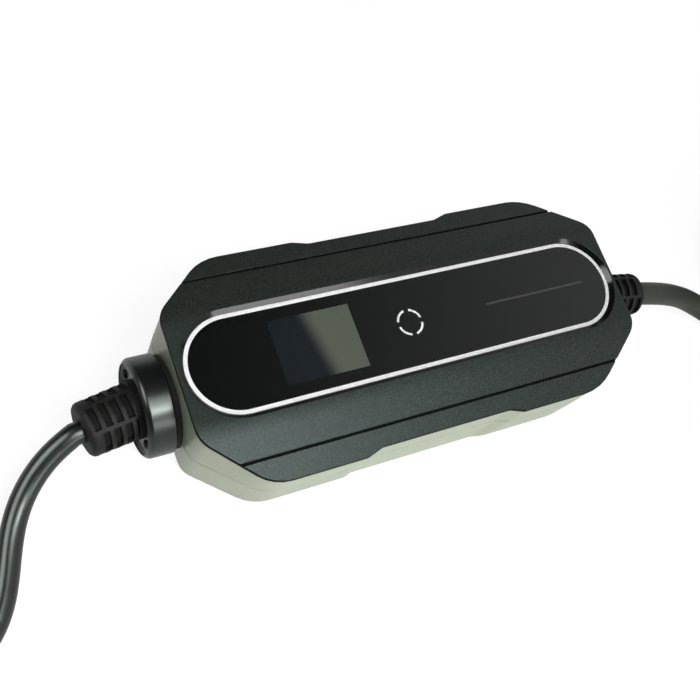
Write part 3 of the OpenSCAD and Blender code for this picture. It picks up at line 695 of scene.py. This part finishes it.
def smooth_route(points: list[Vector], step_mm: float, passes: int = 12) -> list[Vector]:
    """Draws one smooth line through a cord's points and lets it relax as a springy cord does.

    Args:
        points: The points, in metres.
        step_mm: Distance between the line's points.
        passes: How often each point is drawn toward its neighbours.

    Returns:
        Close points along the line.
    """
    ends = [2 * points[0] - points[1], *points, 2 * points[-1] - points[-2]]
    line = [points[0].copy()]
    for a, b, c, d in zip(ends, ends[1:], ends[2:], ends[3:]):
        before, here, after = (b - a).length, (c - b).length, (d - c).length
        leave = (b - a) / before - (c - a) / (before + here) + (c - b) / here
        arrive = (c - b) / here - (d - b) / (here + after) + (d - c) / after
        count = max(2, round(here / (step_mm * MM)))
        for i in range(1, count + 1):
            t = i / count
            spot = (2 * t ** 3 - 3 * t ** 2 + 1) * b + (3 * t ** 2 - 2 * t ** 3) * c
            line.append(spot + here * ((t ** 3 - 2 * t ** 2 + t) * leave + (t ** 3 - t ** 2) * arrive))
    for _ in range(passes):
        inner = [(a + 2 * b + c) / 4 for a, b, c in zip(line[1:], line[2:], line[3:-1])]
        line = [*line[:2], *inner, *line[-2:]]
    return line


def cord_curve(name: str, line: list[Vector], diameter_mm: float) -> bpy.types.Object:
    """Makes a round cord along a line.

    Args:
        name: The piece's name.
        line: Close points along the cord, in metres.
        diameter_mm: Outside diameter.

    Returns:
        The curve object.
    """
    data = bpy.data.curves.new(name, "CURVE")
    data.dimensions = "3D"
    data.bevel_depth = diameter_mm / 2 * MM
    data.bevel_resolution = CORD_STEPS
    data.use_fill_caps = True
    spline = data.splines.new("POLY")
    spline.points.add(len(line) - 1)
    for point, place in zip(spline.points, line):
        point.co = (*place, 1.0)
    spline.use_smooth = True
    piece = bpy.data.objects.new(name, data)
    bpy.context.collection.objects.link(piece)
    return piece


@dataclass(frozen=True)
class Lamp:
    """A soft lamp aimed at a spot. Sizes in millimetres, power in watts, beam in degrees."""

    name: str
    place: tuple[float, float, float]
    width: float
    height: float
    power: float
    aim: tuple[float, float, float] = (0.0, 0.0, 0.0)
    beam: float = 180.0
    # Shows in gloss and adds no plain light.
    only_gloss: bool = False

    def build(self) -> None:
        """Makes the lamp. A beam of less than 180 is a lamp behind a honeycomb grid."""
        data = bpy.data.lights.new(self.name, "AREA")
        data.shape = "RECTANGLE"
        data.size = self.width * MM
        data.size_y = self.height * MM
        data.energy = self.power
        data.spread = math.radians(self.beam)
        lamp = bpy.data.objects.new(self.name, data)
        lamp.location = Vector(self.place) * MM
        lamp.rotation_euler = (Vector(self.aim) * MM - lamp.location).to_track_quat("-Z", "Y").to_euler()
        lamp.visible_diffuse = not self.only_gloss
        bpy.context.collection.objects.link(lamp)


@dataclass
class Studio:
    """Camera at the photograph's angle, white floor and lamps. Sizes in millimetres, angles in degrees."""

    target: tuple[float, float, float] = (-35.68, -6.09, 52.8)
    distance: float = 424.6
    azimuth: float = -58.324
    elevation: float = 60.795
    roll: float = 41.103
    lens: float = 51.27
    sensor: float = 36.0
    clip: float = 10.0
    floor: float = 6000.0
    paper: str = "#f6f7f6"
    # What the camera and gloss see below the glow, so that the floor is white and keeps its shadows.
    paper_seen: str = "#7a7b7a"
    paper_roughness: float = 0.9
    floor_glow: float = 0.9
    floor_glow_in_gloss: float = 0.52
    # The surround is bright low down on the near right and dark overhead, so that level gloss stays black.
    bright_side: tuple[float, float, float] = (0.85, -0.35, -0.4)
    dark_level: float = 0.06
    bright_level: float = 0.6
    ramp: tuple[float, float] = (-0.27, 0.28)
    lamps: tuple[Lamp, ...] = (
        Lamp("lamp_key", (160, -660, 1100), 260, 260, 0.15, (-150, -40, 40), 25),
        Lamp("lamp_near", (241, -990, 550), 520, 340, 2.5),
        Lamp("lamp_left", (-890, 270, 770), 640, 660, 7.0, only_gloss=True),
        Lamp("lamp_top", (0, -330, 1180), 500, 500, 5.6),
    )

    def build(self) -> None:
        """Makes the camera, the floor, the lamps and the world."""
        self.add_camera()
        self.add_floor()
        for lamp in self.lamps:
            lamp.build()
        self.add_world()
        bpy.context.scene.view_settings.view_transform = "Standard"

    def axes(self) -> tuple[Vector, Vector, Vector]:
        """Gives the camera's right, up and backward directions."""
        turn, lift, roll = (math.radians(a) for a in (self.azimuth, self.elevation, self.roll))
        level = Vector((math.cos(turn), math.sin(turn), 0))
        back = Vector((math.cos(lift) * math.sin(turn), -math.cos(lift) * math.cos(turn), math.sin(lift)))
        rise = back.cross(level)
        right = math.cos(roll) * level + math.sin(roll) * rise
        return right, math.cos(roll) * rise - math.sin(roll) * level, back

    def add_camera(self) -> None:
        """Makes the camera."""
        right, up, back = self.axes()
        data = bpy.data.cameras.new("photo_camera")
        data.lens = self.lens
        data.sensor_width = self.sensor
        data.clip_start = self.clip * MM
        camera = bpy.data.objects.new("photo_camera", data)
        stand = Matrix.Translation((Vector(self.target) + back * self.distance) * MM)
        camera.matrix_world = stand @ Matrix((right, up, back)).transposed().to_4x4()
        bpy.context.collection.objects.link(camera)
        bpy.context.scene.camera = camera

    def add_floor(self) -> None:
        """Makes the white floor. It looks white to the camera and in gloss, but lights the object plainly."""
        bpy.ops.object.select_all(action="DESELECT")
        bpy.ops.mesh.primitive_plane_add(size=self.floor * MM)
        floor = bpy.context.active_object
        floor.name = "studio_floor"
        material = bpy.data.materials.new("matt_white_paper")
        material.use_nodes = True
        tree = material.node_tree
        shader = tree.nodes["Principled BSDF"]
        shader.inputs["Roughness"].default_value = self.paper_roughness
        shader.inputs["Specular IOR Level"].default_value = 0.0
        shader.inputs["Emission Color"].default_value = linear("#ffffff")
        path = add_node(tree, "ShaderNodeLightPath").outputs
        straight = add_node(tree, "ShaderNodeMath", {
            0: path["Is Camera Ray"], 1: path["Is Transmission Ray"],
        }, operation="MAXIMUM").outputs[0]
        seen = add_node(tree, "ShaderNodeMath", {0: path["Is Glossy Ray"], 1: straight}, operation="ADD")
        paper = add_node(tree, "ShaderNodeMix", {
            MixSocket.FACTOR: seen.outputs[0], MixSocket.LOW: linear(self.paper),
            MixSocket.HIGH: linear(self.paper_seen),
        }, data_type="RGBA")
        tree.links.new(paper.outputs[MixSocket.RESULT], shader.inputs["Base Color"])
        plain = add_node(tree, "ShaderNodeMath", {0: straight, 1: self.floor_glow}, operation="MULTIPLY")
        glow = add_node(tree, "ShaderNodeMath", {
            0: path["Is Glossy Ray"], 1: self.floor_glow_in_gloss, 2: plain.outputs[0],
        }, operation="MULTIPLY_ADD")
        tree.links.new(glow.outputs[0], shader.inputs["Emission Strength"])
        floor.data.materials.append(material)

    def add_world(self) -> None:
        """Makes the surround: white to the camera itself, otherwise a slow change from dark to bright."""
        world = bpy.data.worlds.new("studio_surround")
        world.use_nodes = True
        tree = world.node_tree
        way = add_node(tree, "ShaderNodeTexCoord").outputs["Generated"]
        side = add_node(tree, "ShaderNodeVectorMath", {
            0: way, 1: Vector(self.bright_side).normalized(),
        }, operation="DOT_PRODUCT")
        level = add_node(tree, "ShaderNodeMapRange", {
            "Value": side.outputs["Value"], "From Min": self.ramp[0], "From Max": self.ramp[1],
            "To Min": self.dark_level, "To Max": self.bright_level,
        }, interpolation_type="SMOOTHSTEP")
        direct = add_node(tree, "ShaderNodeLightPath").outputs["Is Camera Ray"]
        strength = add_node(tree, "ShaderNodeMath", {
            0: level.outputs["Result"], 1: direct,
        }, operation="MAXIMUM")
        shader = tree.nodes["Background"]
        shader.inputs["Color"].default_value = linear("#ffffff")
        tree.links.new(strength.outputs[0], shader.inputs["Strength"])
        bpy.context.scene.world = world


@dataclass
class SupplySide:
    """Supply lead with its gland and mains plug. Sizes in millimetres."""

    diameter: float = 10.0
    root: tuple[float, float, float] = (-123.3, 0.0, 22.0)
    tip: tuple[float, float, float] = (-147.4, -3.817, 22.0)
    plug: tuple[float, float, float] = (-267.4, -23.817, 18.5)
    barrel_r: float = 21.0
    sleeve_r: float = 12.5
    route_step: float = 3.0
    route_passes: int = 24
    # x and y from the sleeve's tip, and the height of the lead's underside
    points: tuple[tuple[float, float, float], ...] = (
        (-6, -1, 16.5), (-13, -4, 13.5), (-20, -9, 9.4), (-27, -16, 5.2), (-33, -25, 2.1), (-37, -35, 0.5),
        (-40.5, -48, 0), (-47, -62, 0), (-57, -71.5, 0), (-70, -77, 0), (-84, -78, 0.5), (-98, -74, 2),
        (-109.5, -65, 4.5), (-117, -52, 8), (-120, -38, 11.5), (-120, -28, 13),
    )
    pieces: list[bpy.types.Object] = field(default_factory=list)

    def build(self) -> None:
        """Makes the lead and dresses what is on it."""
        x, y, _ = self.tip
        bends = [(x + px, y + py, pz + self.diameter / 2) for px, py, pz in self.points]
        stops = [Vector(p) * MM for p in (self.tip, *bends, self.plug)]
        line = smooth_route(stops, self.route_step, self.route_passes)
        lead = cord_curve("supply_lead_sheath", line, self.diameter)
        finish_piece(lead, "lead_black", Finishes.LEAD, "supply_lead")
        sleeve = eased("supply_sleeve", "sleeve_rubber", Finishes.SLEEVE, Easing(0.3))
        # Painted shade: the beds of the slots take a darker finish.
        second_finish(sleeve, Finishes.BED, SlottedSleeve(self.root, self.tip, self.sleeve_r).in_slot)
        self.pieces += [
            sleeve,
            eased("collar", "gland_black", Finishes.GLAND, Easing(0.9, 4, self.on_barrel), Easing(0.25)),
            eased("plug_sleeve", "sleeve_rubber", Finishes.SLEEVE, Easing(0.4)),
            eased("plug_body", "shell_black", Finishes.SHELL, Easing(0.8, 3)),
            eased("plug_pins", "contact_metal", Finishes.CONTACT, Easing(0.3)),
            eased("earth_clips", "contact_metal", Finishes.CONTACT, Easing(0.3)),
        ]
        for name, finish in (("collar_seal", Finishes.SEAL), ("collar_screws", Finishes.DARK_STEEL)):
            dress(node_of(name), finish)
            self.pieces.append(node_of(name))

    def on_barrel(self, place: Vector) -> bool:
        """Tells whether a place is on the outer face of the collar."""
        return math.hypot(place.y, place.z - self.tip[2]) > self.barrel_r


@dataclass
class Winding:
    """Path of the folded cable: three columns in each of three layers. Sizes in millimetres.

    Places along a turn are measured on the middle column from where the cable enters.
    """

    left: tuple[float, float] = (278.795, -19.479)
    run: float = 160.0
    middle: float = 48.0
    pitch: float = 12.0
    first_z: float = 7.2
    entry: float = 220.0
    step: float = 9.0

    def lap(self) -> float:
        """Gives the length of one turn on the middle column."""
        return 2 * self.run + 2 * math.pi * self.middle

    def place(self, along: float, column: float, layer: float) -> Vector:
        """Gives a point on the path.

        Args:
            along: Place along the turn.
            column: -1 for the inner column to 1 for the outer one.
            layer: 0 for the lowest layer to 2 for the highest.

        Returns:
            The point, in metres.
        """
        radius = self.middle + column * self.pitch
        arc = math.pi * self.middle
        x, y = self.left
        along = along % self.lap()
        entry_arc = math.radians(270 - self.entry) * self.middle
        if along < entry_arc:
            centre, angle, shift = x, math.radians(self.entry) + along / self.middle, 0.0
        elif along < entry_arc + self.run:
            centre, angle, shift = x, -math.pi / 2, along - entry_arc
        elif along < entry_arc + self.run + arc:
            turned = (along - entry_arc - self.run) / self.middle
            centre, angle, shift = x + self.run, turned - math.pi / 2, 0.0
        elif along < entry_arc + 2 * self.run + arc:
            centre, angle, shift = x + self.run, math.pi / 2, -(along - entry_arc - self.run - arc)
        else:
            turned = (along - entry_arc - 2 * self.run - arc) / self.middle
            centre, angle, shift = x, turned + math.pi / 2, 0.0
        z = self.first_z + layer * self.pitch
        return Vector((centre + shift + radius * math.cos(angle), y + radius * math.sin(angle), z)) * MM

    def line(self, stop: float) -> list[Vector]:
        """Winds the cable, turn by turn. A strand leaves its place before the next one takes it.

        Args:
            stop: Place along the last turn where the cable leaves the hank.

        Returns:
            Points along the path.
        """
        # Where along a turn each kind of change starts and ends.
        zones = {
            "top_in": (15, 115), "climb_out": (125, 225), "mid_out": (235, 345), "climb_in": (355, 455),
            "low_in": (465, self.lap() - 10),
        }
        # Column and layer at a turn's start, where it changes, and the column and layer after that.
        turns = (
            ((1, 0), "low_in", (0, 0)), ((0, 0), "low_in", (-1, 0)), ((-1, 0), "climb_in", (-1, 1)),
            ((-1, 1), "mid_out", (0, 1)), ((0, 1), "mid_out", (1, 1)), ((1, 1), "climb_out", (1, 2)),
            ((1, 2), "top_in", (0, 2)), ((0, 2), "top_in", (-1, 2)),
        )
        points = []
        for number, (before, zone, after) in enumerate(turns):
            low, high = zones[zone]
            end = stop if number == len(turns) - 1 else self.lap()
            count = round(end / self.step)
            for i in range(count):
                along = end * i / count
                share = min(max((along - low) / (high - low), 0.0), 1.0)
                share = share * share * (3 - 2 * share)
                points.append(self.place(along, *(a + (b - a) * share for a, b in zip(before, after))))
        return points


@dataclass
class VehicleSide:
    """Vehicle cable with its sleeve, hank and connector. Sizes in millimetres."""

    diameter: float = 12.0
    root: tuple[float, float, float] = (110.1, 0.0, 24.8)
    tip: tuple[float, float, float] = (142.795, -4.479, 24.8)
    sleeve_r: float = 11.4
    route_step: float = 4.0
    strap_x: float = 8.0
    # x and y from the sleeve's tip, and the height of the cable's underside
    points: tuple[tuple[float, float, float], ...] = (
        (7, -1, 18.5), (15, -2, 17.2), (24, -2.9, 14.6), (33, -4.1, 11.2), (42, -6.4, 7.4), (51, -10.6, 4),
        (59, -17, 1.6), (65.5, -23, 1.2), (77, -36.9, 1.2),
    )
    hank_top: float = 37.2
    # x and y from the middle of the hank's left fold, and the height of the cable's underside above the hank
    tail: tuple[tuple[float, float, float], ...] = (
        (50, 36.6, -9), (15, 38.5, -4.2), (-30, 29, -1), (-46, 10, 0.3), (-49, -3, 0.4), (-47, -17, 1.4),
        (-40, -31, 3.8), (-29, -41, 7.2), (-17, -46.5, 11), (-6, -48, 14),
    )
    connector: tuple[float, float, float] = (282.795, -67.479, 58.5)
    screw_x: tuple[float, ...] = (44.0, 70.0)
    screw_seat: float = 72.5
    screw_foot: float = 47.5
    in_sleeve: float = 20.0
    leave_hank: float = 430.0
    winding: Winding = field(default_factory=Winding)
    pieces: list[bpy.types.Object] = field(default_factory=list)

    def build(self) -> None:
        """Makes the cable and dresses what is on it."""
        line = self.route()
        cable = cord_curve("vehicle_cable_sheath", line, self.diameter)
        finish_piece(cable, "cable_black", Finishes.CABLE, "vehicle_cable", "vehicle_hank", "vehicle_tail")
        sleeve = eased("vehicle_sleeve", "sleeve_rubber", Finishes.SLEEVE, Easing(0.3))
        # Painted shade: the beds of the slots take a darker finish.
        second_finish(sleeve, Finishes.BED, SlottedSleeve(self.root, self.tip, self.sleeve_r).in_slot)
        self.pieces += [
            sleeve,
            self.straps(),
            eased("connector_sleeve", "sleeve_rubber", Finishes.SLEEVE, Easing(0.4)),
            eased("connector_lower_shell", "shell_black", Finishes.SHELL, Easing(0.6)),
            eased("connector_upper_shell", "shell_black", Finishes.SHELL, Easing(0.6)),
            eased("connector_insert", "shell_black", Finishes.SHELL, Easing(0.5)),
            eased("contact_sleeves", "contact_metal", Finishes.CONTACT, Easing(0.15)),
            eased("nose_seal", "seal_rubber", Finishes.SEAL, Easing(0.4)),
            self.shell_screws(),
        ]

    def straps(self) -> bpy.types.Object:
        """Makes the two straps that hold the hank.

        Returns:
            Both straps as one piece.
        """
        x, y = self.winding.left
        half = self.winding.middle
        near = Matrix.Translation(Vector((x + self.strap_x, y - half, 0)) * MM)
        far = Matrix.Translation(Vector((x + self.winding.run / 2, y + half, 0)) * MM)
        turned = near @ Matrix.Rotation(math.pi, 4, "Z")
        piece = joined_copies(Strap().model(), "hank_straps", [turned, far])
        finish_piece(piece, "strap", Finishes.STRAP, "hank_ties")
        return piece

    def shell_screws(self) -> bpy.types.Object:
        """Makes the screws that close the connector's shells.

        Returns:
            The screws as one piece.
        """
        x, y, _ = self.connector
        screw = Screw(head_d=5.0, head_h=2.5, shank_d=3.0, shank_l=self.screw_seat - self.screw_foot)
        places = [Matrix.Translation(Vector((x + along, y, self.screw_seat)) * MM) for along in self.screw_x]
        piece = joined_copies(screw.model(), "shell_screws", places)
        finish_piece(piece, "screw_steel", Finishes.STEEL, "connector_screws")
        return piece

    def route(self) -> list[Vector]:
        """Gives the cable's whole path, from its sleeve through the hank to the connector.

        Returns:
            Close points along the cable, in metres.
        """
        x, y, _ = self.tip
        half = self.diameter / 2
        lead_in = [Vector(self.tip)] + [Vector((x + px, y + py, pz + half)) for px, py, pz in self.points]
        cx, cy = self.winding.left
        tail = [Vector((cx + px, cy + py, self.hank_top + pz + half)) for px, py, pz in self.tail]
        end = [Vector(self.connector), Vector(self.connector) + Vector((self.in_sleeve, 0, 0))]
        wound = self.winding.line(self.leave_hank)
        return smooth_route([p * MM for p in lead_in] + wound + [p * MM for p in tail + end], self.route_step)


@dataclass
class ControlBox:
    """The two case halves, the cover and the display panel. Sizes in millimetres, angle in degrees."""

    half_l: float = 110.5
    half_w: float = 51.2
    height: float = 54.0
    parting: float = 27.0
    crown: float = 53.0
    fall: float = 20.0
    groove_y: float = 40.7
    groove_half: float = 1.4
    panel_z: float = 52.2
    panel_run: float = 170.6
    panel_r: float = 22.0
    rim_w: float = 2.0
    # How far an edge may lie from its drawn place
    slack: float = 0.15
    brow_h: float = 1.2
    groove_h: tuple[float, float] = (0.3, 1.6)
    # How far inside the outline a place may lie: at an end, on a side and on a cut corner
    end_in: float = 1.4
    side_in: float = 3.7
    flank: float = 4.0
    corner_way: tuple[float, float] = (0.667, 0.745)
    corner_reach: float = 92.8
    seam_half: float = 0.4
    # Upward parts of the directions that count as a slope, an upright side and the seam's V
    slope: tuple[float, float] = (0.2, 0.97)
    upright: float = 0.62
    seam_lean: tuple[float, float] = (0.3, 0.95)
    screw_xy: tuple[tuple[float, float], ...] = ((99.5, 31.0), (52.0, 44.7))
    screw_seat: float = 12.0
    screw_tip: float = 37.0

    def build(self) -> None:
        """Makes the eased mouldings and dresses the rest."""
        cover = eased(
            "top_cover", "cover_black", Finishes.COVER, Easing(0.7, 3, self.on_brow),
            Easing(0.25, 2, self.on_rim), Easing(0.12, 1, self.in_groove),
        )
        second_finish(cover, Finishes.RIM, self.polished)
        # Painted shade: the grooves and the cover's upright side take a darker, dull finish.
        second_finish(cover, Finishes.EDGE, self.groove_inside)
        second_finish(cover, Finishes.EDGE, self.on_side)
        for name in ("upper_case", "lower_case"):
            half = eased(name, "case_grey", Finishes.WALL, Easing(0.45, 1, self.at_parting), weighted=False)
            # Painted shade: the seam's V between the two case halves takes a darker, dull finish.
            second_finish(half, Finishes.EDGE, self.in_seam)
        for name, finish in (
            ("panel_lens", Finishes.PANEL), ("panel_line", Finishes.PRINT), ("key_ring", Finishes.PRINT),
            ("screen_window", Finishes.SCREEN), ("light_guide", Finishes.LIGHT),
            ("panel_tape", Finishes.SEAL), ("case_seal", Finishes.SEAL),
        ):
            dress(node_of(name), finish)
        self.add_screws()

    def add_screws(self) -> None:
        """Makes the eight screws that close the case from below."""
        turned = Matrix.Rotation(math.pi, 4, "X")
        places = [
            Matrix.Translation(Vector((sx * x, sy * y, self.screw_seat)) * MM) @ turned
            for x, y in self.screw_xy for sx in (-1, 1) for sy in (-1, 1)
        ]
        screw = Screw(head_d=6.0, head_h=2.0, shank_d=3.0, shank_l=self.screw_tip - self.screw_seat)
        piece = joined_copies(screw.model(), "cross_head_case_screws", places)
        finish_piece(piece, "screw_steel", Finishes.STEEL, "case_screws")

    def from_panel(self, place: Vector) -> float:
        """Gives the distance from the panel's middle line, seen from above."""
        return math.hypot(max(abs(place.x) - self.panel_run / 2, 0.0), place.y)

    def on_rim(self, place: Vector) -> bool:
        """Tells whether a place is on the slope round the panel."""
        inside = self.from_panel(place) < self.panel_r + self.rim_w + self.slack
        return inside and place.z > self.panel_z - 0.2

    def in_groove(self, place: Vector) -> bool:
        """Tells whether a place is in one of the two long grooves."""
        return abs(abs(place.y) - self.groove_y) < self.groove_half

    def below_roof(self, place: Vector) -> float:
        """Gives how far a place lies below the cover's upper face."""
        drop = max(abs(place.y) - self.crown / 2, 0.0) * math.tan(math.radians(self.fall))
        return self.height - drop - place.z

    def on_brow(self, place: Vector) -> bool:
        """Tells whether a place is on the cover's upper outer edge."""
        beside = self.from_panel(place) > self.panel_r + self.rim_w + self.slack
        return self.below_roof(place) < self.brow_h and beside and not self.in_groove(place)

    def polished(self, place: Vector, way: Vector) -> bool:
        """Tells whether a face of the cover is on the slope round the panel or on the brow at an end."""
        at_end = self.outer(place) and abs(place.y) < self.half_w - self.flank
        return self.slope[0] < way.z < self.slope[1] and (self.on_rim(place) or at_end)

    def groove_inside(self, place: Vector, way: Vector) -> bool:
        """Tells whether a face of the cover is a wall or the bed of a groove."""
        return self.in_groove(place) and self.groove_h[0] < self.below_roof(place) < self.groove_h[1]

    def on_side(self, place: Vector, way: Vector) -> bool:
        """Tells whether a face of the cover is on its upright side or the lower half of the brow."""
        return self.outer(place) and abs(way.z) < self.upright

    def outer(self, place: Vector) -> bool:
        """Tells whether a place is close to the outline of the case, seen from above."""
        x, y = abs(place.x), abs(place.y)
        corner = x * self.corner_way[0] + y * self.corner_way[1]
        return x > self.half_l - self.end_in or y > self.half_w - self.side_in or corner > self.corner_reach

    def at_parting(self, place: Vector) -> bool:
        """Tells whether a place is on the outer edge where the two halves of the case meet."""
        return self.outer(place) and abs(place.z - self.parting) < self.seam_half

    def in_seam(self, place: Vector, way: Vector) -> bool:
        """Tells whether a face is in the shallow V where the two halves of the case meet."""
        return self.at_parting(place) and self.seam_lean[0] < abs(way.z) < self.seam_lean[1]


@dataclass
class Electronics:
    """What is inside the closed box."""

    def build(self) -> None:
        """Dresses the boards and what stands on them."""
        for finish, names in (
            (Finishes.BOARD, ("main_board", "display_board")),
            (Finishes.STEEL, ("board_screws", "display_screws")),
            (Finishes.WIRE, ("supply_wires", "load_wires")),
            (Finishes.GLAND, ("collar_nut", "vehicle_nut")),
            (Finishes.COMPONENT, (
                "lcd_module", "touch_pad", "board_link", "line_terminal", "load_terminal", "current_sensor",
                "relays", "power_module", "filter_capacitors",
            )),
        ):
            for name in names:
                dress(node_of(name), finish)


def main() -> None:
    """Builds the studio and the sub-assemblies in order."""
    logging.basicConfig(level=logging.INFO, format="%(name)s: %(message)s")
    for part in (Studio(), SupplySide(), VehicleSide(), ControlBox(), Electronics()):
        LOG.info("building %s", type(part).__name__)
        part.build()


if __name__ == "__main__":
    main()
